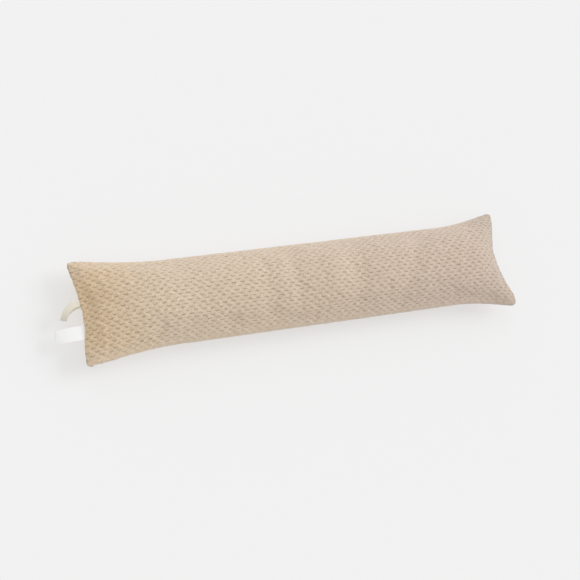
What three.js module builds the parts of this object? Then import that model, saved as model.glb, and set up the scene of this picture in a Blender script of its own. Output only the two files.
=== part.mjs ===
// A draught excluder: a long, low filled cushion that lies along the foot of a door.
// Two equal faces of cloth are sewn together on all four sides, turned and filled.
// A doubled tape for hanging it up and a blank label are caught in one end seam.
// Sizes are in millimetres. X runs along the cushion, with the tape at the -X end.
// Z is up, and the middle of the resting face is the origin.
import * as THREE from "three";
import { ParametricGeometry } from "three/addons/geometries/ParametricGeometry.js";
import { mergeVertices } from "three/addons/utils/BufferGeometryUtils.js";

// Sizes of the filled cover
const FACE_LENGTH = 900; // one face laid flat, end seam to end seam
const FACE_WIDTH = 200; // one face laid flat, long seam to long seam
const FACE_HALF_ANGLE = THREE.MathUtils.degToRad(55.5); // half of the arc that the filled face makes
const SEAM_ROUND = 3; // radius of the cloth turned at the seam
const CORNER_ROUND = 9; // radius of the turned corners
const SEAM_HEIGHT = 40; // the seam runs this high above the floor

// The filling thins out towards each end seam over "reach", a length of cloth.
// A "fullness" under 1 makes the end fill out quickly from its seam.
const TAPE_END = { reach: 192, fullness: 0.67 };
const FAR_END = { reach: 142, fullness: 0.7 };

// Unevenness of the end seams: a stretch of one end that lies further out, or in where "out" is below 0.
const END_SHIFTS = [
  { end: 1, side: 10, half_width: 50, out: -7 },
  { end: 1, side: -82, half_width: 20, out: 5 },
];
const SHIFT_REACH = 45; // a shift fades over this length of cloth from its end seam

// Soft hollows of the upper face, where the loose filling parts. A depth below zero is a swell between them.
// "at" and "side" place the middle on the flat cloth; "lean" moves it along for each mm across.
const HOLLOWS = [
  { at: -440, side: 15, half_length: 42, half_width: 26, lean: 0, depth: 9 },
  { at: -310, side: -52, half_length: 18, half_width: 18, lean: 0, depth: 3 },
  { at: -235, side: 5, half_length: 65, half_width: 50, lean: 0, depth: 6 },
  { at: -165, side: -65, half_length: 18, half_width: 18, lean: 0, depth: 3 },
  { at: -88, side: -20, half_length: 20, half_width: 60, lean: 0, depth: 3.5 },
  { at: -30, side: 15, half_length: 20, half_width: 60, lean: 0, depth: 3.5 },
  { at: 52, side: 0, half_length: 30, half_width: 60, lean: 0, depth: -3 },
  { at: 100, side: 0, half_length: 28, half_width: 75, lean: 0.2, depth: 4.5 },
  { at: 222, side: 0, half_length: 22, half_width: 75, lean: 0.55, depth: 4 },
  { at: 375, side: 0, half_length: 38, half_width: 50, lean: 0, depth: -5 },
];
const HOLLOW_FULL_HEIGHT = 18; // hollows fade out where the face is lower than this above its seam

// Sizes of the hanging loop
const TAPE_WIDTH = 12;
const TAPE_THICK = 1.2;
const LOOP_REACH = 45; // from the seam to the tip of the loop, along its own bend
const LOOP_FULLNESS = 8.5; // sets how far the two legs stand apart
const LOOP_TAPER = 1.2; // higher keeps the legs together for longer from the seam
const LOOP_SIDE = 17; // across the cushion, from its middle to the tape
const LOOP_TURN = THREE.MathUtils.degToRad(75); // sideways, from the seam to the tip
const LOOP_DROOP = THREE.MathUtils.degToRad(30); // downward, from the seam to the tip
const LEG_GAP = 0.6; // between the two legs where they leave the seam
const LEG_SKEW = 2.5; // the upper leg is sewn in this far to one side of the lower leg

// Sizes of the label
const LABEL_WIDTH = 27;
const LABEL_LENGTH = 52;
const LABEL_THICK = 1;
const LABEL_SIDE = -37; // across the cushion, from its middle to the middle of the label
const LABEL_DROOP = THREE.MathUtils.degToRad(30); // downward, from the seam to the free edge
const SEWN_CLEAR = 0.6; // tape and label start this far outside the end seam

// How finely each surface is divided
const COVER_ALONG = 112;
const COVER_AROUND = 40;
const COVER_END_CROWDING = 1.5; // over 1 brings the sections closer together at the ends
const LOOP_STEPS = 44;
const LABEL_STEPS = 14;
const LABEL_STRIPS = 4;
const RUN_STEP = 3; // step along the cloth when its run on the ground is summed
const NEVER_UPRIGHT = 0.05; // least squared share of the cloth's length that lies along the ground

// Share of the full height at a distance in from a rounded edge: a quarter circle, then level.
function edgeRound(inward, radius) {
  const share = THREE.MathUtils.clamp(inward / radius, 0, 1);
  return Math.sqrt(1 - (1 - share) ** 2);
}

// Half angle of the arc of the face, at a distance along the cloth from the middle.
function halfAngle(along) {
  const end = along < 0 ? TAPE_END : FAR_END;
  const fromEnd = THREE.MathUtils.clamp((FACE_LENGTH / 2 - Math.abs(along)) / end.reach, 0, 1);
  return Math.max(FACE_HALF_ANGLE * Math.sin((Math.PI / 2) * fromEnd) ** end.fullness, 0.001);
}

// Where a point of the flat cloth comes to lie across the cushion, and how high above the seam.
function arcAcross(along, across) {
  const angle = halfAngle(along);
  const radius = FACE_WIDTH / 2 / angle;
  const turn = (angle * across) / (FACE_WIDTH / 2);
  return {
    side: radius * Math.sin(turn),
    crown: Math.max(radius * (Math.cos(turn) - Math.cos(angle)), 0),
  };
}

// How far the unevenness of the nearer end moves a point of the cloth along the cushion.
function endShift(along, across) {
  const fade = Math.exp(-(((FACE_LENGTH / 2 - Math.abs(along)) / SHIFT_REACH) ** 2));
  let shift = 0;
  for (const { end, side, half_width, out } of END_SHIFTS) {
    const near = end === Math.sign(along) ? fade : 0;
    shift += end * out * near * Math.exp(-(((across - side) / half_width) ** 2));
  }
  return shift;
}

// Cloth bends but does not stretch, so a line along it covers less ground where it climbs.
// This draws the ends in between the corners.
function groundRun(along, across) {
  const length = Math.abs(along);
  const steps = Math.ceil(length / RUN_STEP);
  const step = length / steps;
  let run = 0;
  let here = arcAcross(0, across);
  for (let i = 1; i <= steps; i += 1) {
    const next = arcAcross(Math.sign(along) * i * step, across);
    const drift = (next.side - here.side) / step;
    const climb = (next.crown - here.crown) / step;
    run += step * Math.sqrt(Math.max(1 - drift ** 2 - climb ** 2, NEVER_UPRIGHT));
    here = next;
  }
  return Math.sign(along) * run + endShift(along, across);
}

// Half the width of the cloth at a distance along it, with the turned corners rounded.
function clothHalfWidth(along) {
  const fromEnd = FACE_LENGTH / 2 - Math.abs(along);
  const inside = THREE.MathUtils.clamp(CORNER_ROUND - fromEnd, 0, CORNER_ROUND);
  return FACE_WIDTH / 2 - CORNER_ROUND + Math.sqrt(CORNER_ROUND ** 2 - inside ** 2);
}

// Depth of the soft hollows at a point of the flat cloth.
function hollowDepth(along, across) {
  let depth = 0;
  for (const hollow of HOLLOWS) {
    const over = across - hollow.side;
    const off = (along - hollow.at - hollow.lean * over) / hollow.half_length;
    depth += hollow.depth * Math.exp(-(off ** 2) - (over / hollow.half_width) ** 2);
  }
  return depth;
}

// Closes a surface given by a function of two shares, along and around.
// Points that fall together become one, and faces that collapse are dropped.
function closedSkin(place, slices, stacks) {
  const surface = new ParametricGeometry(place, slices, stacks);
  surface.deleteAttribute("normal");
  surface.deleteAttribute("uv");
  const merged = mergeVertices(surface, 1e-4);
  const corners = merged.getIndex().array;
  const kept = [];
  for (let i = 0; i < corners.length; i += 3) {
    const [a, b, c] = [corners[i], corners[i + 1], corners[i + 2]];
    if (a !== b && b !== c && c !== a) kept.push(a, b, c);
  }
  merged.setIndex(kept);
  merged.computeVertexNormals();
  return merged;
}

// One point of the filled cover: "along" from end to end, "around" over the top and back below.
function placeCover(along, around, target) {
  const fromMiddle = THREE.MathUtils.clamp(2 * along - 1, -1, 1);
  const toEnd = (FACE_LENGTH / 2) * (1 - Math.abs(fromMiddle)) ** COVER_END_CROWDING;
  const u = Math.sign(fromMiddle) * (FACE_LENGTH / 2 - toEnd);
  const turn = 2 * Math.PI * (around % 1);
  const halfWidth = clothHalfWidth(u);
  const v = -Math.cos(turn) * halfWidth;
  const isTop = turn < Math.PI;
  const { side, crown } = arcAcross(u, v);
  const round = edgeRound(toEnd, SEAM_ROUND) * edgeRound(halfWidth - Math.abs(v), SEAM_ROUND);
  const filled = (crown + SEAM_ROUND) * round;
  const shallow = THREE.MathUtils.smoothstep(filled, SEAM_ROUND, HOLLOW_FULL_HEIGHT);
  const above = filled - hollowDepth(u, v) * shallow;
  const below = Math.min(filled, SEAM_HEIGHT); // flat where it lies on the floor
  target.set(groundRun(u, v), side, SEAM_HEIGHT + (isTop ? above : -below));
}

// Where the end seam with the tape lies, at a distance across the flat cloth.
function endSeam(across) {
  const { side } = arcAcross(-FACE_LENGTH / 2, across);
  return new THREE.Vector3(groundRun(-FACE_LENGTH / 2, across), side, SEAM_HEIGHT);
}

// Heading, sideways direction and upright of a strip that leaves the end seam and bends as it goes.
function stripAxes(share, turn, droop) {
  const heading = new THREE.Vector3(
    -Math.cos(droop * share) * Math.cos(turn * share),
    -Math.cos(droop * share) * Math.sin(turn * share),
    -Math.sin(droop * share),
  );
  const across = new THREE.Vector3(-heading.y, heading.x, 0).normalize();
  const upright = new THREE.Vector3().crossVectors(heading, across);
  return { heading, across, upright };
}

// The strip's middle line at a distance from the seam, summed from its headings.
function stripLine(start, distance, reach, turn, droop) {
  const point = start.clone();
  const steps = 24;
  for (let i = 0; i < steps; i += 1) {
    const share = (distance * (i + 0.5)) / steps / reach;
    point.addScaledVector(stripAxes(share, turn, droop).heading, distance / steps);
  }
  return point;
}

// The doubled tape seen from its edge: a drop shape, out along one leg and back along the other.
function loopOutline(share) {
  const turn = 2 * Math.PI * share;
  const apart = LOOP_FULLNESS * Math.sin(turn) * Math.sin(turn / 2) ** LOOP_TAPER;
  const legs = ((TAPE_THICK + LEG_GAP) / 2) * Math.cos(turn / 2);
  return new THREE.Vector2((LOOP_REACH * (1 - Math.cos(turn))) / 2, apart + legs);
}

// Corners of a strip's section, as shares of its thickness and width.
const SECTION_CORNERS = [
  { thick: 0.5, wide: -0.5 },
  { thick: 0.5, wide: 0.5 },
  { thick: -0.5, wide: 0.5 },
  { thick: -0.5, wide: -0.5 },
];
const SECTION_MIDDLE = { thick: 0, wide: 0 };

// Turns a share along a strip into its section, with one more step at each end that closes it.
function sectionAt(along, around, steps) {
  const index = Math.round(along * (steps + 2));
  const share = THREE.MathUtils.clamp((index - 1) / steps, 0, 1);
  const isCap = index === 0 || index === steps + 2;
  const corner = isCap ? SECTION_MIDDLE : SECTION_CORNERS[Math.round(around * 4) % 4];
  return { share, corner };
}

// One point of the hanging loop.
function placeLoop(along, around, target) {
  const { share, corner } = sectionAt(along, around, LOOP_STEPS);
  const middle = loopOutline(share);
  const before = loopOutline(Math.max(share - 0.001, 0));
  const after = loopOutline(Math.min(share + 0.001, 1));
  const lie = after.sub(before).normalize();
  const out = middle.x - lie.y * corner.thick * TAPE_THICK;
  const up = middle.y + lie.x * corner.thick * TAPE_THICK;
  const start = endSeam(LOOP_SIDE).add(new THREE.Vector3(-SEWN_CLEAR - TAPE_THICK, 0, 0));
  const line = stripLine(start, Math.max(out, 0), LOOP_REACH, LOOP_TURN, LOOP_DROOP);
  const axes = stripAxes(Math.max(out, 0) / LOOP_REACH, LOOP_TURN, LOOP_DROOP);
  line.addScaledVector(axes.upright, up);
  const skew = (LEG_SKEW / 2) * Math.cos(Math.PI * share);
  line.addScaledVector(axes.across, corner.wide * TAPE_WIDTH - skew);
  target.copy(line);
}

// One point of the label, which hangs straight out from the end seam and droops a little.
function placeLabel(along, around, target) {
  const steps = LABEL_STEPS;
  const index = Math.round(along * (steps + 2));
  const share = THREE.MathUtils.clamp((index - 1) / steps, 0, 1);
  const isCap = index === 0 || index === steps + 2;
  const strip = Math.round(around * 2 * (LABEL_STRIPS + 1)) % (2 * (LABEL_STRIPS + 1));
  const isUnder = strip <= LABEL_STRIPS;
  const wide = (isUnder ? strip : 2 * LABEL_STRIPS + 1 - strip) / LABEL_STRIPS - 0.5;
  const face = isUnder ? -0.5 : 0.5;
  const thick = isCap ? 0 : face;
  const across = LABEL_SIDE + wide * LABEL_WIDTH;
  const start = endSeam(across).add(new THREE.Vector3(-SEWN_CLEAR, 0, 0));
  const line = stripLine(start, share * LABEL_LENGTH, LABEL_LENGTH, 0, LABEL_DROOP);
  const axes = stripAxes(share, 0, LABEL_DROOP);
  target.copy(line.addScaledVector(axes.upright, thick * LABEL_THICK));
}

// Adds a finished piece to the part under its own name.
function addPiece(group, name, geometry, material) {
  const mesh = new THREE.Mesh(geometry, material);
  mesh.name = name;
  group.add(mesh);
}

const fleece = new THREE.MeshStandardMaterial({ name: "fleece", color: 0xcbb9a4, roughness: 0.95 });
const tape = new THREE.MeshStandardMaterial({ name: "tape", color: 0xe0d9c8, roughness: 0.9 });
const label = new THREE.MeshStandardMaterial({ name: "label", color: 0xf1f1ef, roughness: 0.7 });

const part = new THREE.Group();
part.name = "draught_excluder";
addPiece(part, "cushion", closedSkin(placeCover, COVER_ALONG, COVER_AROUND), fleece);
addPiece(part, "hanging_loop", closedSkin(placeLoop, LOOP_STEPS + 2, 4), tape);
addPiece(part, "care_label", closedSkin(placeLabel, LABEL_STEPS + 2, 2 * (LABEL_STRIPS + 1)), label);

export default part;
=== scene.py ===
# %% [markdown]
# # A draught excluder in dimpled fleece
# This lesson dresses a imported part: a long filled cushion with a tape loop and a blank label in one end seam.
# Every surface is a function of two parameters.
# It is worked out on a grid with numpy and handed to Blender at once.
# Lengths are in metres, X runs along the cushion and Z is up.

import bpy
import numpy as np
from mathutils import Matrix, Vector


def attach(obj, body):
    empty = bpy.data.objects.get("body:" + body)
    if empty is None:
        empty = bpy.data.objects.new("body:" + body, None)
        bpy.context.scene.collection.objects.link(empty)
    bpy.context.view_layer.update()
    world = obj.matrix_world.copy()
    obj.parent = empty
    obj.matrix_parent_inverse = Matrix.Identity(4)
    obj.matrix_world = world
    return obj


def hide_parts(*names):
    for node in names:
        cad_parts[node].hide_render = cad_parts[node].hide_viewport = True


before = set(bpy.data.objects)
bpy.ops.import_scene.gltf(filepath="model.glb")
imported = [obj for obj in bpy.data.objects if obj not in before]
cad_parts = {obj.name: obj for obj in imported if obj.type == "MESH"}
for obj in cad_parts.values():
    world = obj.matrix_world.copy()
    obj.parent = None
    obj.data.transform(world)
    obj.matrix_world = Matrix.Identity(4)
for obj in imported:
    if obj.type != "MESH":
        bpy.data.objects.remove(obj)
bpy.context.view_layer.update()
print("frame nodes:", sorted(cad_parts))

# %% [markdown]
# ## Sizes
# The cover is two equal faces of flat cloth. Filling bends each face into an arc across its width.
# The arc's half angle falls to nothing at the end seams, over the reach given for each end.

# %%
FACE_LENGTH = 0.900  # one face laid flat, end seam to end seam
FACE_WIDTH = 0.200  # one face laid flat, long seam to long seam
HALF_ANGLE = np.radians(55.5)  # half of the arc that the filled face makes
LEAST_ANGLE = 0.001  # keeps the arc's radius finite at the end seams
TAPE_END = {"reach": 0.192, "fullness": 0.67}
FAR_END = {"reach": 0.142, "fullness": 0.70}
END_SHIFTS = np.array(
    [  # end, side, half width, out
        (1, 0.010, 0.050, -0.007),
        (1, -0.082, 0.020, 0.005),
    ]
)
SHIFT_REACH = 0.045  # a shift fades over this length of cloth from its end seam
SEAM_ROUND = 0.003  # radius of the cloth turned at the seam
CORNER_ROUND = 0.009  # radius of the turned corners
SEAM_HEIGHT = 0.040  # the seam runs this high above the floor
FLAT_BLEND = 0.003  # eases the underside into the flat face it rests on
HOLLOW_FULL_HEIGHT = 0.018  # hollows fade out where the face is lower than this above its seam
NEVER_UPRIGHT = 0.05  # least squared share of the cloth's length that lies along the ground
HOLLOWS = np.array(
    [  # along, side, half length, half width, lean, depth (a swell when below zero)
        (-0.440, 0.015, 0.042, 0.026, 0.00, 0.0090),
        (-0.310, -0.052, 0.018, 0.018, 0.00, 0.0030),
        (-0.235, 0.005, 0.065, 0.050, 0.00, 0.0060),
        (-0.165, -0.065, 0.018, 0.018, 0.00, 0.0030),
        (-0.088, -0.020, 0.020, 0.060, 0.00, 0.0035),
        (-0.030, 0.015, 0.020, 0.060, 0.00, 0.0035),
        (0.052, 0.000, 0.030, 0.060, 0.00, -0.0030),
        (0.100, 0.000, 0.028, 0.075, 0.20, 0.0045),
        (0.222, 0.000, 0.022, 0.075, 0.55, 0.0040),
        (0.375, 0.000, 0.038, 0.050, 0.00, -0.0050),
    ]
)
DIMPLE_PITCH = 0.01650  # along the cushion
DIMPLE_ROW = 0.00642  # across, from one row to the next, which is shifted by half a pitch

# %% [markdown]
# ## From flat cloth to filled cushion
# A point of the flat cloth has two coordinates, `u` along and `v` across.
# Cloth bends but hardly stretches, so where a line along it climbs or drifts sideways it covers less ground.
# Summing that shortened ground draws the ends in between the corners, as the filling does.


# %%
def half_angle(u):
    """Half angle of the face's arc: full in the middle, and a rounded fall to zero at each end seam."""
    reach = np.where(u < 0, TAPE_END["reach"], FAR_END["reach"])
    fullness = np.where(u < 0, TAPE_END["fullness"], FAR_END["fullness"])
    share = np.clip((FACE_LENGTH / 2 - np.abs(u)) / reach, 0, 1)
    return np.maximum(HALF_ANGLE * np.sin(np.pi / 2 * share) ** fullness, LEAST_ANGLE)


def arc_across(u, v):
    """Sideways place and height of a point: the flat width rolled onto a circle that holds the arc."""
    angle = half_angle(u)
    radius = FACE_WIDTH / 2 / angle
    turn = angle * v / (FACE_WIDTH / 2)
    return radius * np.sin(turn), np.maximum(radius * (np.cos(turn) - np.cos(angle)), 0)


def ground_run(u, v, steps=600, strips=61):
    """Place along the ground: the sum, from the middle, of each short step's share that lies along X."""
    us = np.linspace(-FACE_LENGTH / 2, FACE_LENGTH / 2, steps + 1)
    vs = np.linspace(-FACE_WIDTH / 2, FACE_WIDTH / 2, strips)
    side, crown = arc_across(us[:, None], vs[None, :])
    step = us[1] - us[0]
    level = 1 - (np.diff(side, axis=0) / step) ** 2 - (np.diff(crown, axis=0) / step) ** 2
    run = np.zeros_like(side)
    run[1:] = np.cumsum(step * np.sqrt(np.maximum(level, NEVER_UPRIGHT)), axis=0)
    run -= run[steps // 2]
    return bilinear(run, us, vs, u, v) + end_shift(u, v)


def end_shift(u, v):
    """Unevenness of the end seams: bells across the end that fade with distance from it."""
    fade = np.exp(-(((FACE_LENGTH / 2 - np.abs(u)) / SHIFT_REACH) ** 2))
    shift = np.zeros_like(u)
    for end, side, half_width, out in END_SHIFTS:
        shift += end * out * fade * (np.sign(u) == end) * np.exp(-(((v - side) / half_width) ** 2))
    return shift


def bilinear(table, us, vs, u, v, last=1.000001):
    """Reads a table on an even grid at any points, mixing the four values around each.

    The value of last keeps points on the far edges inside the last cell.
    """
    a = np.clip((u - us[0]) / (us[1] - us[0]), 0, len(us) - last)
    b = np.clip((v - vs[0]) / (vs[1] - vs[0]), 0, len(vs) - last)
    i, j = a.astype(int), b.astype(int)
    a, b = a - i, b - j
    low = table[i, j] * (1 - b) + table[i, j + 1] * b
    high = table[i + 1, j] * (1 - b) + table[i + 1, j + 1] * b
    return low * (1 - a) + high * a


# %% [markdown]
# The seam is a small rounded edge, the corners are rounded in plan, and the underside is flat where it rests.


# %%
def edge_round(inward, radius):
    """A quarter circle from 0 at the edge to 1 at the radius, then level."""
    return np.sqrt(1 - (1 - np.clip(inward / radius, 0, 1)) ** 2)


def cloth_half_width(u):
    """Half the cloth's width, less a quarter circle at the corners."""
    inside = np.clip(CORNER_ROUND - (FACE_LENGTH / 2 - np.abs(u)), 0, CORNER_ROUND)
    return FACE_WIDTH / 2 - CORNER_ROUND + np.sqrt(CORNER_ROUND**2 - inside**2)


def hollow_depth(u, v):
    """Sum of soft bell-shaped hollows; a lean slants one across the cushion."""
    depth = np.zeros_like(u)
    for along, side, half_length, half_width, lean, deep in HOLLOWS:
        over = v - side
        off = (u - along - lean * over) / half_length
        depth += deep * np.exp(-(off**2) - (over / half_width) ** 2)
    return depth


def eased_limit(height, limit, ease):
    """The lower of two heights, with a smooth bend where they meet."""
    mix = np.maximum(ease - np.abs(height - limit), 0) / ease
    return np.minimum(height, limit) - ease * mix * mix / 4


def filled_cover(u, v):
    """Points of the upper and the lower face over the same flat cloth, as two arrays of x, y, z."""
    side, crown = arc_across(u, v)
    inward = cloth_half_width(u) - np.abs(v)
    rounded = edge_round(FACE_LENGTH / 2 - np.abs(u), SEAM_ROUND) * edge_round(inward, SEAM_ROUND)
    filled = (crown + SEAM_ROUND) * rounded
    shallow = np.clip((filled - SEAM_ROUND) / (HOLLOW_FULL_HEIGHT - SEAM_ROUND), 0, 1)
    shallow = shallow * shallow * (3 - 2 * shallow)
    above = SEAM_HEIGHT + filled - hollow_depth(u, v) * shallow
    below = SEAM_HEIGHT - eased_limit(filled, SEAM_HEIGHT, FLAT_BLEND)
    along = ground_run(u, v)
    return np.stack([along, side, above], -1), np.stack([along, side, below], -1)


# %% [markdown]
# ## A closed grid
# The two faces share their rim, so the mesh is closed: the lower face only adds the points inside it.


# %%
def cover_grid(columns, rows, crowding=0.15):
    """Flat cloth on a grid whose lines crowd a little towards the seams.

    A share s from -1 to 1 becomes (1 - crowding) s + crowding sin(pi s / 2).
    """
    s = np.linspace(-1, 1, columns)
    t = np.linspace(-1, 1, rows)
    s = (1 - crowding) * s + crowding * np.sin(np.pi / 2 * s)
    t = (1 - crowding) * t + crowding * np.sin(np.pi / 2 * t)
    u = np.repeat(s[:, None] * FACE_LENGTH / 2, rows, 1)
    return u, t[None, :] * cloth_half_width(u)


def closed_faces(shape):
    """Point numbers of both faces, which are the same on the rim, and the quads between them."""
    upper = np.arange(shape[0] * shape[1]).reshape(shape)
    lower = upper.copy()
    lower[1:-1, 1:-1] = upper.size + np.arange((shape[0] - 2) * (shape[1] - 2)).reshape(shape[0] - 2, -1)
    quads = []
    for ids, turn in ((upper, 1), (lower, -1)):
        ring = [ids[:-1, :-1], ids[1:, :-1], ids[1:, 1:], ids[:-1, 1:]]
        quads.append(np.stack(ring[::turn], -1).reshape(-1, 4))
    return upper, lower, np.concatenate(quads).tolist()


def make_mesh(name, points, faces, uv=None, smooth=True):
    """A Blender object from points and faces, with the flat-cloth coordinates as its UV map."""
    mesh = bpy.data.meshes.new(name)
    mesh.from_pydata(points.tolist(), [], faces)
    if uv is not None:
        layer = mesh.uv_layers.new(name="cloth")
        corner = np.zeros(len(mesh.loops), np.int32)
        mesh.loops.foreach_get("vertex_index", corner)
        layer.data.foreach_set("uv", uv[corner].astype(np.float32).ravel())
    mesh.polygons.foreach_set("use_smooth", np.full(len(mesh.polygons), smooth))
    mesh.update()
    made = bpy.data.objects.new(name, mesh)
    bpy.context.scene.collection.objects.link(made)
    return made


def read_points(mesh):
    """All vertex places of a mesh as one array."""
    flat = np.zeros(len(mesh.vertices) * 3, np.float32)
    mesh.vertices.foreach_get("co", flat)
    return flat.reshape(-1, 3).astype(float)


# %% [markdown]
# ## Letting the cloth settle
# A coarse copy is run through Blender's cloth solver.
# It has a little pressure inside and slightly too much cloth.
# What is kept is how each point moved, less the slow change of form, so the seams and corners pucker
# while the cushion keeps the shape that the part has.

# %%
COARSE = (128, 34)  # columns and rows of the grid that settles
SETTLE_FRAMES = 22
SPARE_CLOTH = 0.025  # share by which the cloth is too large
PUCKER_LIMIT = 0.0028  # no point is moved further than this
SLOW_ALONG, SLOW_ACROSS = 0.060, 0.45  # blur that finds the slow change; across is a share of half the width
FINE_ALONG, FINE_ACROSS = 0.0075, 0.065  # blur from the coarse grid to the fine one
TINY, TINY_AREA = 1e-9, 1e-12  # keep a length and an area off zero before they divide


def settle(points, quads):
    """Runs the cloth solver on a closed mesh and returns how far each point moved."""
    coarse = make_mesh("settling", points, quads)
    cloth = coarse.modifiers.new("cloth", "CLOTH")
    cloth.settings.quality = 7
    cloth.settings.mass = 0.25
    cloth.settings.tension_stiffness = 25
    cloth.settings.compression_stiffness = 25
    cloth.settings.shear_stiffness = 10
    cloth.settings.bending_stiffness = 0.9
    cloth.settings.shrink_min = -SPARE_CLOTH
    cloth.settings.use_pressure = True
    cloth.settings.uniform_pressure_force = 4
    cloth.settings.effector_weights.gravity = 0
    cloth.point_cache.frame_start = 1
    cloth.point_cache.frame_end = SETTLE_FRAMES
    for number in range(1, SETTLE_FRAMES + 1):
        bpy.context.scene.frame_set(number)
    depsgraph = bpy.context.evaluated_depsgraph_get()
    moved = read_points(coarse.evaluated_get(depsgraph).data) - points
    bpy.data.objects.remove(coarse)
    bpy.context.scene.frame_set(1)
    return moved


def blur_weights(targets, sources, width):
    """Rows of bell-shaped weights that add up to one: blurs and resamples in one product."""
    weights = np.exp(-(((targets[:, None] - sources[None, :]) / width) ** 2))
    return weights / weights.sum(1, keepdims=True)


def puckers(u_fine, t_fine):
    """Small movements of both faces on the fine grid, from the settled coarse one."""
    u, v = cover_grid(*COARSE)
    above, below = filled_cover(u, v)
    upper, lower, quads = closed_faces(u.shape)
    points = np.concatenate([above.reshape(-1, 3), below[1:-1, 1:-1].reshape(-1, 3)])
    moved = settle(points, quads)
    t = v[len(v) // 2] / (FACE_WIDTH / 2)
    slow_u, slow_t = blur_weights(u[:, 0], u[:, 0], SLOW_ALONG), blur_weights(t, t, SLOW_ACROSS)
    fine_u, fine_t = blur_weights(u_fine, u[:, 0], FINE_ALONG), blur_weights(t_fine, t, FINE_ACROSS)
    faces = []
    for ids in (upper, lower):
        step = moved[ids]
        step = step - np.einsum("ia,abk,jb->ijk", slow_u, step, slow_t)
        size = np.linalg.norm(step, axis=-1, keepdims=True)
        step = step * PUCKER_LIMIT * np.tanh(size / PUCKER_LIMIT) / np.maximum(size, TINY)
        faces.append(np.einsum("ia,abk,jb->ijk", fine_u, step, fine_t))
    print("settled cloth moved at most", round(float(np.abs(moved).max()) * 1000, 1), "mm")
    return faces


# %% [markdown]
# ## The fine cover
# The dimples lie on a half-drop lattice: each row is shifted by half a pitch from the one before.
# The mesh carries the plump swell between them and the uneven pile, which roughen the outline;
# the material adds the pits themselves, as bump and as painted shade.

# %%
FINE = (401, 111)  # columns and rows of the finished grid
SWELL = 0.0006  # height of the swell between dimples
SWELL_REACH, SWELL_LEAST = 0.014, 0.1  # it is least at a seam and full this far in from it
TUFT_SIZE, TUFT_RELIEF = 0.0036, 0.0004
TUFT_SEEDS = (3, 4)  # upper face, lower face
PILE_REACH, PILE_LEAST = 0.008, 0.35  # the pile is flattened at a seam and full this far in from it
SHAGGY_FROM, SHAGGY_REACH, SHAGGY = -0.38, 0.05, 1.5  # towards the tape's end it is rougher instead
LIFTED = 0.012  # relief of the lower face fades where it is closer than this to the floor


def swell(u, v):
    """Plump ovals: the product of two cosines, at full pitch along and double row pitch across."""
    return np.cos(2 * np.pi * u / DIMPLE_PITCH) * np.cos(np.pi * v / DIMPLE_ROW)


def tufts(u, v, seed):
    """Uneven pile: seeded random numbers, blurred over the size of a tuft and scaled to a spread of one."""
    rough = np.random.default_rng(seed).normal(size=u.shape)
    along, across = u[:, 0], v[len(v) // 2]
    rough = blur_weights(along, along, TUFT_SIZE) @ rough @ blur_weights(across, across, TUFT_SIZE).T
    return rough / rough.std()


def grid_normals(points):
    """Unit normals of a grid of points, from the cross product of its two directions."""
    normal = np.cross(np.gradient(points, axis=0), np.gradient(points, axis=1))
    return normal / np.maximum(np.linalg.norm(normal, axis=-1, keepdims=True), TINY_AREA)


def build_cushion():
    """The filled cover as one closed mesh, with puckers, swell and uneven pile added to the form."""
    u, v = cover_grid(*FINE)
    above, below = filled_cover(u, v)
    t = v[len(v) // 2] / (FACE_WIDTH / 2)
    pucker_above, pucker_below = puckers(u[:, 0], t)
    inward = np.minimum(cloth_half_width(u) - np.abs(v), FACE_LENGTH / 2 - np.abs(u))
    loose = np.clip(inward / SWELL_REACH, SWELL_LEAST, 1)
    at_tape = np.clip((SHAGGY_FROM - u) / SHAGGY_REACH, 0, 1)
    shaggy = at_tape * SHAGGY + (1 - at_tape) * np.clip(inward / PILE_REACH, PILE_LEAST, 1)
    lifted = np.clip(below[..., 2] / LIFTED, 0, 1)[..., None]
    relief_above, relief_below = [
        (TUFT_RELIEF * shaggy * tufts(u, v, seed) - SWELL * loose * swell(u, v))[..., None]
        for seed in TUFT_SEEDS
    ]
    above = above + pucker_above + grid_normals(above) * relief_above
    below = below + (pucker_below - grid_normals(below) * relief_below) * lifted
    below[..., 2] = np.maximum(below[..., 2], 0)
    below[0], below[-1], below[:, 0], below[:, -1] = above[0], above[-1], above[:, 0], above[:, -1]
    _, _, quads = closed_faces(u.shape)
    points = np.concatenate([above.reshape(-1, 3), below[1:-1, 1:-1].reshape(-1, 3)])
    cloth = np.stack([u, v], -1)
    uv = np.concatenate([cloth.reshape(-1, 2), cloth[1:-1, 1:-1].reshape(-1, 2)])
    return make_mesh("cushion_cover", points, quads, uv)


cushion = build_cushion()
print("cushion cover:", len(cushion.data.polygons), "quads")

# %% [markdown]
# ## Tape and label
# Both leave the end seam as strips that bend as they go.
# A strip's middle line is the running sum of its heading, and its section is a thin rounded bar.

# %%
TAPE_WIDTH, TAPE_THICK = 0.012, 0.0011
LOOP_REACH, LOOP_FULLNESS, LOOP_TAPER = 0.045, 0.0085, 1.2
LOOP_SIDE, LEG_GAP, LEG_SKEW = 0.017, 0.0006, 0.0025
LOOP_TURN, LOOP_DROOP = np.radians(75), np.radians(30)
LABEL_WIDTH, LABEL_LENGTH, LABEL_THICK = 0.027, 0.052, 0.0005
LABEL_SIDE, LABEL_DROOP = -0.037, np.radians(30)
SEWN_IN = 0.004  # strips start this far inside the seam


def end_seam(v):
    """Places on the end seam of the tape's end, at distances v across the flat cloth."""
    u = np.full_like(v, -FACE_LENGTH / 2)
    return np.stack([ground_run(u, v), arc_across(u, v)[0], np.full_like(v, SEAM_HEIGHT)], -1)


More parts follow.
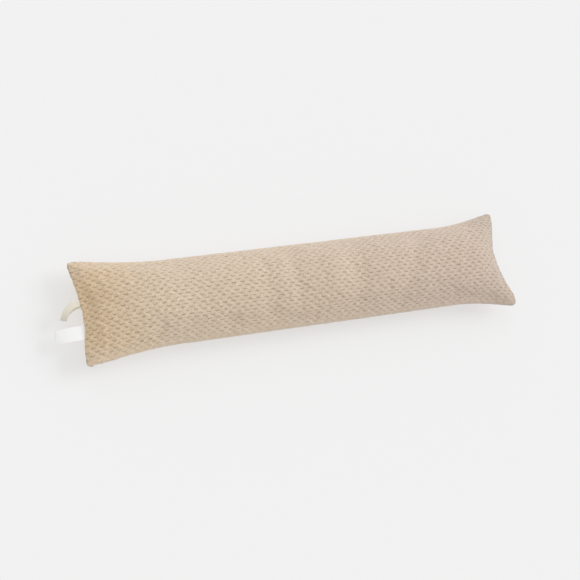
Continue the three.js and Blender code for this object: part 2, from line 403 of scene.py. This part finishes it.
def strip_axes(share, turn, droop):
    """Heading, sideways and upright directions after a share of the strip's bend."""
    yaw, pitch = turn * share, droop * share
    heading = np.stack([-np.cos(pitch) * np.cos(yaw), -np.cos(pitch) * np.sin(yaw), -np.sin(pitch)], -1)
    across = np.stack([np.sin(yaw), -np.cos(yaw), np.zeros_like(yaw)], -1)
    return heading, across, np.cross(heading, across)


def strip_line(out, reach, turn, droop, steps=64):
    """Middle line at distances out from the seam: headings summed in equal steps, and straight behind it."""
    ahead = np.maximum(out, 0)
    middles = (np.arange(steps) + 0.5) / steps
    heading, _, _ = strip_axes(ahead[..., None] / reach * middles, turn, droop)
    line = heading.sum(-2) * (ahead / steps)[..., None]
    line[..., 0] -= np.minimum(out, 0)
    return line


def bar_section(width, thick, sides=7, spans=10):
    """A thin bar's outline as (wide, thick) offsets: two half circles joined by straight edges."""
    turn = np.linspace(-np.pi / 2, np.pi / 2, sides)
    right = np.stack([width / 2 - thick / 2 + np.cos(turn) * thick / 2, np.sin(turn) * thick / 2], -1)
    inside = np.linspace(1, -1, spans + 1)[1:-1, None]
    across = inside * np.array([width / 2 - thick / 2, 0]) + np.array([0, thick / 2])
    return np.concatenate([right, across, -right, -across])


def tube_mesh(name, rings, uv):
    """A closed skin through rings of points, capped by a middle point at each end."""
    count, sides = rings.shape[:2]
    ids = np.arange(count * sides).reshape(count, sides)
    nxt = np.roll(ids, -1, axis=1)
    quads = np.stack([ids[:-1], nxt[:-1], nxt[1:], ids[1:]], -1).reshape(-1, 4).tolist()
    points = np.concatenate([rings.reshape(-1, 3), rings[[0, -1]].mean(1)])
    first, last = count * sides, count * sides + 1
    caps = [[first, b, a] for a, b in zip(ids[0], nxt[0])]
    caps += [[last, a, b] for a, b in zip(ids[-1], nxt[-1])]
    flat = np.concatenate([uv.reshape(-1, 2), uv[[0, -1]].mean(1)])
    return make_mesh(name, points, quads + caps, flat)


# %% [markdown]
# The tape is doubled: seen from its edge it goes out along one leg, round the tip and back along the other.


# %%
def loop_outline(share):
    """Distance out and height of the doubled tape: a drop shape, its legs a little apart at the seam."""
    turn = 2 * np.pi * share
    apart = LOOP_FULLNESS * np.sin(turn) * np.abs(np.sin(turn / 2)) ** LOOP_TAPER
    legs = (TAPE_THICK + LEG_GAP) / 2 * np.cos(turn / 2)
    return np.stack([LOOP_REACH * (1 - np.cos(turn)) / 2, apart + legs], -1)


def build_loop(steps=180):
    """The tape loop: a bar section swept round the drop outline, then bent sideways and down."""
    share = np.linspace(0, 1, steps)
    middle = loop_outline(share)
    tail = np.array([[-SEWN_IN, 0.0]])
    middle = np.concatenate([middle[:1] + tail, middle, middle[-1:] + tail])
    share = np.concatenate([[0], share, [1]])
    lie = np.gradient(middle, axis=0)
    lie = lie / np.linalg.norm(lie, axis=1, keepdims=True)
    lie[:3], lie[-3:] = (1, 0), (-1, 0)
    section = bar_section(TAPE_WIDTH, TAPE_THICK)
    out = middle[:, None, 0] - lie[:, None, 1] * section[None, :, 1]
    up = middle[:, None, 1] + lie[:, None, 0] * section[None, :, 1]
    _, across, upright = strip_axes(np.maximum(out, 0) / LOOP_REACH, LOOP_TURN, LOOP_DROOP)
    skew = LEG_SKEW / 2 * np.cos(np.pi * share)
    wide = section[None, :, 0] - skew[:, None]
    start = end_seam(np.array([LOOP_SIDE]))[0]
    rings = start + strip_line(out, LOOP_REACH, LOOP_TURN, LOOP_DROOP)
    rings = rings + upright * up[..., None] + across * wide[..., None]
    along = np.concatenate([[0], np.cumsum(np.linalg.norm(np.diff(middle, axis=0), axis=1))])
    uv_along = np.repeat(along[:, None], len(section), 1)
    uv_across = np.repeat(section[None, :, 0], len(along), 0)
    uv = np.stack([uv_along, uv_across], -1)
    return tube_mesh("tape_loop", rings, uv), float(along[-1])


loop, tape_length = build_loop()
print("tape loop: flat length", round(tape_length * 1000, 1), "mm")

# %% [markdown]
# The label is one sheet that stands straight out from the seam and droops.
# It has a faint curl across its width.


# %%
def build_label(steps=44, curl=0.0009):
    """The label: a bar section moved along the bent line, arched across by a shallow parabola."""
    share = np.linspace(-SEWN_IN / LABEL_LENGTH, 1, steps)
    section = bar_section(LABEL_WIDTH, LABEL_THICK)
    out = np.repeat((share * LABEL_LENGTH)[:, None], len(section), 1)
    _, _, upright = strip_axes(np.maximum(out, 0) / LABEL_LENGTH, 0.0, LABEL_DROOP)
    start = end_seam(LABEL_SIDE - section[:, 0])
    arch = curl * (1 - (2 * section[:, 0] / LABEL_WIDTH) ** 2)
    lift = section[None, :, 1] + arch[None, :] * np.clip(share, 0, 1)[:, None]
    rings = start[None] + strip_line(out, LABEL_LENGTH, 0.0, LABEL_DROOP) + upright * lift[..., None]
    uv = np.stack([out, np.repeat(section[None, :, 0], steps, 0)], -1)
    return tube_mesh("blank_label", rings, uv)


label = build_label()
print("label:", len(label.data.polygons), "faces")

# %% [markdown]
# ## Materials
# Small helpers keep node trees short: each adds one node, links what it is given and returns the output.


# %%
def feed(tree, socket, value):
    """Links a socket to an output, or sets it to a plain value."""
    if isinstance(value, bpy.types.NodeSocket):
        tree.links.new(value, socket)
    else:
        socket.default_value = value


def maths(tree, operation, a, b=0.0, c=0.0):
    """One math node."""
    node = tree.nodes.new("ShaderNodeMath")
    node.operation = operation
    for socket, value in zip(node.inputs, (a, b, c)):
        feed(tree, socket, value)
    return node.outputs[0]


def ramp(tree, value, low, high, start=0.0, end=1.0):
    """A smooth step from start to end as the value goes from low to high."""
    node = tree.nodes.new("ShaderNodeMapRange")
    node.interpolation_type = "SMOOTHSTEP"
    names = ("Value", "From Min", "From Max", "To Min", "To Max")
    for name, given in zip(names, (value, low, high, start, end)):
        feed(tree, node.inputs[name], given)
    return node.outputs["Result"]


def noise(tree, vector, scale, detail=2.0, rough=0.5):
    """Noise from 0 to 1 at a number of cells for each metre."""
    node = tree.nodes.new("ShaderNodeTexNoise")
    feed(tree, node.inputs["Vector"], vector)
    node.inputs["Scale"].default_value = scale
    node.inputs["Detail"].default_value = detail
    node.inputs["Roughness"].default_value = rough
    return node.outputs["Fac"]


def mix_colour(tree, share, a, b, blend="MIX"):
    """Mixes two colours, or multiplies the first by a share of the second."""
    node = tree.nodes.new("ShaderNodeMix")
    node.data_type = "RGBA"
    node.blend_type = blend
    feed(tree, node.inputs["Factor"], share)
    feed(tree, node.inputs["A"], a)
    feed(tree, node.inputs["B"], b)
    return node.outputs["Result"]


# %% [markdown]
# The dimple group turns flat-cloth coordinates into pits: 1 in the middle of a dash, 0 between dashes.
# Rows with an odd number are shifted by half a pitch.
# A dash is all points near a short line along the cushion.
# The line tilts a little and, towards the tape's end, curls up at its tips.

# %%
PIT_HALF_LENGTH = 0.0030
PIT_INNER, PIT_OUTER = 0.0002, 0.0016  # a pit is full this near to its line, and gone this far from it
PIT_TILT = 0.05
PIT_CURL = 110.0  # rise of the line for each square metre along it
CURL_RANGE = (-0.30, 0.05)  # along the cushion, from fully curled to straight
LATTICE_START = 100.5  # keeps the numbers of rows and columns above zero


def from_middle(tree, cells, pitch):
    """Distance from the middle of the cell that a count of cells falls in."""
    return maths(tree, "MULTIPLY", maths(tree, "SUBTRACT", maths(tree, "FRACT", cells), 0.5), pitch)


def dimple_group():
    """A node group with one vector in, and the pit and the two flat coordinates out."""
    group = bpy.data.node_groups.new("dimple_lattice", "ShaderNodeTree")
    group.interface.new_socket("Cloth", in_out="INPUT", socket_type="NodeSocketVector")
    for name in ("Pit", "Along", "Across"):
        group.interface.new_socket(name, in_out="OUTPUT", socket_type="NodeSocketFloat")
    start, end = group.nodes.new("NodeGroupInput"), group.nodes.new("NodeGroupOutput")
    split = group.nodes.new("ShaderNodeSeparateXYZ")
    group.links.new(start.outputs["Cloth"], split.inputs[0])
    along, across = split.outputs[0], split.outputs[1]
    rows = maths(group, "ADD", maths(group, "DIVIDE", across, DIMPLE_ROW), LATTICE_START)
    shift = maths(group, "MULTIPLY", maths(group, "MODULO", maths(group, "FLOOR", rows), 2.0), 0.5)
    columns = maths(group, "ADD", maths(group, "DIVIDE", along, DIMPLE_PITCH), LATTICE_START)
    off = from_middle(group, maths(group, "ADD", columns, shift), DIMPLE_PITCH)
    over = maths(group, "MULTIPLY_ADD", off, PIT_TILT, from_middle(group, rows, DIMPLE_ROW))
    curl = ramp(group, along, *CURL_RANGE, PIT_CURL, 0.0)
    over = maths(group, "SUBTRACT", over, maths(group, "MULTIPLY", curl, maths(group, "POWER", off, 2.0)))
    beyond = maths(group, "SUBTRACT", maths(group, "ABSOLUTE", off), PIT_HALF_LENGTH)
    beyond = maths(group, "MAXIMUM", beyond, 0.0)
    squares = maths(group, "ADD", maths(group, "POWER", beyond, 2.0), maths(group, "POWER", over, 2.0))
    pit = ramp(group, maths(group, "SQRT", squares), PIT_INNER, PIT_OUTER, 1.0, 0.0)
    for name, value in (("Pit", pit), ("Along", along), ("Across", across)):
        group.links.new(value, end.inputs[name])
    return group


# %% [markdown]
# The fleece is matte with a soft sheen. Its tone drifts along the cushion and is warmest at the tape's end; the
# last of the far end is darkened with painted shade.
# Pits, gaps between tufts and gaps between fibres each multiply the tone by a share of a darker tint: painted
# shade in these hollows.

# %%
FLEECE_WARM = (0.93, 0.742, 0.505, 1)  # at the tape's end
FLEECE_MIDDLE = (0.866, 0.743, 0.592, 1)
FLEECE_FAR = (0.81, 0.688, 0.592, 1)
# painted shade: a darker tone for the last of the far end, which the right sun lights strongly
FLEECE_END_SHADE = (0.69, 0.605, 0.525, 1)  # the last of the far end
# painted shade: the darker tint laid into pits and into the gaps of the pile, with the share of each below
PAINTED_SHADE_TINT = (0.60, 0.50, 0.40, 1)
PIT_SHADE_SHARE, TUFT_SHADE_SHARE, FIBRE_SHADE_SHARE = 0.66, 0.72, 0.25
PIT_DEPTH, TUFT_HEIGHT, FIBRE_HEIGHT = 0.0010, 0.0005, 0.0003
UNEVEN_SCALE, TUFT_SCALE, FIBRE_SCALE = 70, 700, 1100  # noise cells for each metre
PILE_ROUGHNESS = 0.6  # of the noise for tufts and fibres
GAP_RANGE = (0.35, 0.65)  # their noise, from a gap to a full tuft or fibre
UNEVEN_RANGE, SHALLOWEST = (0.3, 0.7), 0.65  # noise that makes some pits shallower, down to this share
EDGE_RANGE, EDGE_PITS = (0.076, 0.098), 0.4  # aside: pits fade to this share at the long seams
PALE_ASIDE, PALE_SHARE = (0.040, 0.095), 0.7  # aside: the warm tone fades by this share
PALE_ALONG = (-0.47, -0.27)  # along: the warm tone turns into the middle one
FAR_ALONG = (-0.30, 0.40)  # along: the middle tone turns into the far one
END_SHADE_ALONG = (0.34, 0.45)  # along: the far tone turns into the last one
WANDER_SCALE = 150  # noise cells for each metre
WANDER_REACH = (0.0044, 0.0028, 0)  # the spread of dimples about their lattice
SHEEN_TINT = (1.0, 0.96, 0.92, 1)


def start_material(name, roughness):
    """A material with its principled shader and the flat-cloth coordinates."""
    material = bpy.data.materials.new(name)
    material.use_nodes = True
    tree = material.node_tree
    shader = tree.nodes["Principled BSDF"]
    shader.inputs["Roughness"].default_value = roughness
    shader.inputs["Specular IOR Level"].default_value = 0.2
    cloth = tree.nodes.new("ShaderNodeUVMap")
    cloth.uv_map = "cloth"
    return material, tree, shader, cloth.outputs["UV"]


def add_bump(tree, shader, height):
    """Bump from a height in metres."""
    bump = tree.nodes.new("ShaderNodeBump")
    bump.inputs["Strength"].default_value = 1.0
    bump.inputs["Distance"].default_value = 1.0
    tree.links.new(height, bump.inputs["Height"])
    tree.links.new(bump.outputs["Normal"], shader.inputs["Normal"])


def wandering(tree, coordinates, cloth, reach):
    """Flat-cloth coordinates pushed about by centred noise, so that no two dimples are quite alike."""
    wander = tree.nodes.new("ShaderNodeTexNoise")
    wander.inputs["Scale"].default_value = WANDER_SCALE
    tree.links.new(coordinates, wander.inputs["Vector"])
    push = tree.nodes.new("ShaderNodeVectorMath")
    push.operation = "MULTIPLY_ADD"
    tree.links.new(wander.outputs["Color"], push.inputs[0])
    push.inputs[1].default_value = reach
    back = tree.nodes.new("ShaderNodeVectorMath")
    back.operation = "SUBTRACT"
    tree.links.new(cloth, back.inputs[0])
    back.inputs[1].default_value = [part / 2 for part in reach]
    tree.links.new(back.outputs[0], push.inputs[2])
    return push.outputs[0]


def fleece_material():
    """Dimpled short-pile fleece."""
    material, tree, shader, cloth = start_material("fleece", 0.95)
    shader.inputs["Sheen Weight"].default_value = 0.5
    shader.inputs["Sheen Roughness"].default_value = 0.5
    shader.inputs["Sheen Tint"].default_value = SHEEN_TINT
    coordinates = tree.nodes.new("ShaderNodeTexCoord").outputs["Object"]
    dimples = tree.nodes.new("ShaderNodeGroup")
    dimples.node_tree = dimple_group()
    tree.links.new(wandering(tree, coordinates, cloth, WANDER_REACH), dimples.inputs["Cloth"])
    along, aside = dimples.outputs["Along"], maths(tree, "ABSOLUTE", dimples.outputs["Across"])
    uneven = ramp(tree, noise(tree, coordinates, UNEVEN_SCALE), *UNEVEN_RANGE, SHALLOWEST, 1.0)
    uneven = maths(tree, "MULTIPLY", uneven, ramp(tree, aside, *EDGE_RANGE, 1.0, EDGE_PITS))
    depth = maths(tree, "MULTIPLY", dimples.outputs["Pit"], uneven)
    tuft = noise(tree, coordinates, TUFT_SCALE, rough=PILE_ROUGHNESS)
    fibre = noise(tree, coordinates, FIBRE_SCALE, rough=PILE_ROUGHNESS)
    pale = maths(tree, "MULTIPLY", ramp(tree, aside, *PALE_ASIDE), PALE_SHARE)
    pale = maths(tree, "MAXIMUM", pale, ramp(tree, along, *PALE_ALONG))
    tone = mix_colour(tree, pale, FLEECE_WARM, FLEECE_MIDDLE)
    tone = mix_colour(tree, ramp(tree, along, *FAR_ALONG), tone, FLEECE_FAR)
    # painted shade over the last of the far end
    tone = mix_colour(tree, ramp(tree, along, *END_SHADE_ALONG), tone, FLEECE_END_SHADE)
    # painted shade in the pits and in the gaps between tufts and between fibres
    pit_shade = maths(tree, "MULTIPLY", depth, PIT_SHADE_SHARE)
    tuft_gap_shade = ramp(tree, tuft, *GAP_RANGE, TUFT_SHADE_SHARE, 0.0)
    fibre_gap_shade = ramp(tree, fibre, *GAP_RANGE, FIBRE_SHADE_SHARE, 0.0)
    for share in (pit_shade, tuft_gap_shade, fibre_gap_shade):
        tone = mix_colour(tree, share, tone, PAINTED_SHADE_TINT, "MULTIPLY")
    tree.links.new(tone, shader.inputs["Base Color"])
    height = maths(tree, "MULTIPLY_ADD", fibre, FIBRE_HEIGHT, maths(tree, "MULTIPLY", depth, -PIT_DEPTH))
    add_bump(tree, shader, maths(tree, "MULTIPLY_ADD", tuft, TUFT_HEIGHT, height))
    return material


# %% [markdown]
# The tape is a slanting twill and the label a fine satin: waves along the cloth give each its bump.
# Of a thread's colour, the share named `between` is left between threads as painted shade. A faint glow on each
# is painted light.

# %%
TAPE_WEAVE = {
    "colour": (0.83, 0.78, 0.67, 1),
    "pitch": 0.0016,
    "height": 0.00012,
    "slant": 1.0,
    "roughness": 0.85,
    # painted shade between threads: this share of the thread's colour
    "between": 0.85,
    # painted light: a faint glow, though the tape is no lamp
    "painted_glow": 0.06,
}
LABEL_WEAVE = {
    "colour": (0.93, 0.93, 0.92, 1),
    "pitch": 0.0005,
    "height": 0.00002,
    "slant": 0.0,
    "roughness": 0.55,
    # painted shade between threads: this share of the thread's colour
    "between": 0.96,
    # painted light: a faint glow, though the label is no lamp
    "painted_glow": 0.1,
}


def woven_material(name, colour, pitch, height, slant, roughness, between, painted_glow):
    """Plain thread lines at a slant, as bump and as painted shade between threads; a faint glow is painted
    light.
    """
    material, tree, shader, cloth = start_material(name, roughness)
    # painted light: the cloth glows faintly in its own colour
    shader.inputs["Emission Color"].default_value = colour
    shader.inputs["Emission Strength"].default_value = painted_glow
    split = tree.nodes.new("ShaderNodeSeparateXYZ")
    tree.links.new(cloth, split.inputs[0])
    line = maths(tree, "MULTIPLY_ADD", maths(tree, "ABSOLUTE", split.outputs[1]), slant, split.outputs[0])
    wave = maths(tree, "SINE", maths(tree, "MULTIPLY", line, 2 * np.pi / pitch))
    darker = tuple(between * channel for channel in colour[:3]) + (1,)
    # painted shade between the threads
    tone = mix_colour(tree, ramp(tree, wave, -1.0, 1.0, 0.5, 0.0), colour, darker)
    tree.links.new(tone, shader.inputs["Base Color"])
    add_bump(tree, shader, maths(tree, "MULTIPLY", wave, height))
    return material


cushion.data.materials.append(fleece_material())
loop.data.materials.append(woven_material("cotton_tape", **TAPE_WEAVE))
label.data.materials.append(woven_material("label_satin", **LABEL_WEAVE))
print("materials:", [m.name for m in bpy.data.materials if m.users])

# %% [markdown]
# ## Putting each piece on the part's body
# Each new piece rides on the part's one body, and the node it stands for is hidden.

# %%
for piece, node, slot in (
    (cushion, "cushion", "fleece"),
    (loop, "hanging_loop", "tape"),
    (label, "care_label", "label"),
):
    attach(piece, "root")
    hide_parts(node)

# %% [markdown]
# ## Floor, light and camera
# A wide pale floor, even light from all round, one soft sun from the right and a weaker one from behind.
# Suns light the floor evenly, so the only change of tone on it is the cushion's own soft shadow.

# %%
FLOOR_COLOUR = (0.37, 0.37, 0.37, 1)
FLOOR_GLOW = 0.525  # a lit sweep under the cushion, which softens its shadow
SUNS = (  # name, direction towards the light, strength, angle in degrees
    ("right", (0.80, 0.16, 0.57), 1.35, 34),
    ("back", (0.0, 0.82, 0.57), 0.25, 40),
)
AMBIENT = 0.68


def build_floor(half=6.0):
    """One large square at floor level."""
    points = np.array([(-half, -half, 0), (half, -half, 0), (half, half, 0), (-half, half, 0)])
    floor = make_mesh("floor", points, [[0, 1, 2, 3]], smooth=False)
    material = bpy.data.materials.new("pale_floor")
    material.use_nodes = True
    shader = material.node_tree.nodes["Principled BSDF"]
    shader.inputs["Base Color"].default_value = FLOOR_COLOUR
    shader.inputs["Roughness"].default_value = 1.0
    shader.inputs["Specular IOR Level"].default_value = 0.0
    shader.inputs["Emission Color"].default_value = (1, 1, 1, 1)
    shader.inputs["Emission Strength"].default_value = FLOOR_GLOW
    floor.data.materials.append(material)
    return floor


def add_sun(name, towards, strength, angle):
    """A sun that shines from a direction, with a wide disc for soft shadows."""
    light = bpy.data.lights.new(name, "SUN")
    light.energy = strength
    light.angle = np.radians(angle)
    lamp = bpy.data.objects.new(name, light)
    lamp.rotation_mode = "QUATERNION"
    lamp.rotation_quaternion = Vector(towards).to_track_quat("Z", "Y")
    bpy.context.scene.collection.objects.link(lamp)


build_floor()
for sun in SUNS:
    add_sun(*sun)
world = bpy.data.worlds.new("even_light")
world.use_nodes = True
world.node_tree.nodes["Background"].inputs["Color"].default_value = (1, 1, 1, 1)
world.node_tree.nodes["Background"].inputs["Strength"].default_value = AMBIENT
bpy.context.scene.world = world
bpy.context.scene.view_settings.view_transform = "Standard"

# %% [markdown]
# The camera is given by its place, its lens and two of its own directions.
# They were fitted to the cushion's outline and to the pitch of its dimples.

# %%
CAMERA_PLACE = Vector((-1.0253, -0.6464, 2.3699 + SEAM_HEIGHT))
CAMERA_RIGHT = Vector((0.9189, -0.2218, 0.3262))
CAMERA_UP = Vector((0.1198, 0.9448, 0.3050))
CAMERA_LENS, SENSOR_WIDTH = 85.33, 36  # in millimetres

lens = bpy.data.cameras.new("camera")
lens.lens = CAMERA_LENS
lens.sensor_width = SENSOR_WIDTH
camera = bpy.data.objects.new("camera", lens)
right = CAMERA_RIGHT.normalized()
up = (CAMERA_UP - right * CAMERA_UP.dot(right)).normalized()
turned = Matrix((right, up, right.cross(up))).transposed()
camera.matrix_world = Matrix.Translation(CAMERA_PLACE) @ turned.to_4x4()
bpy.context.scene.collection.objects.link(camera)
bpy.context.scene.camera = camera
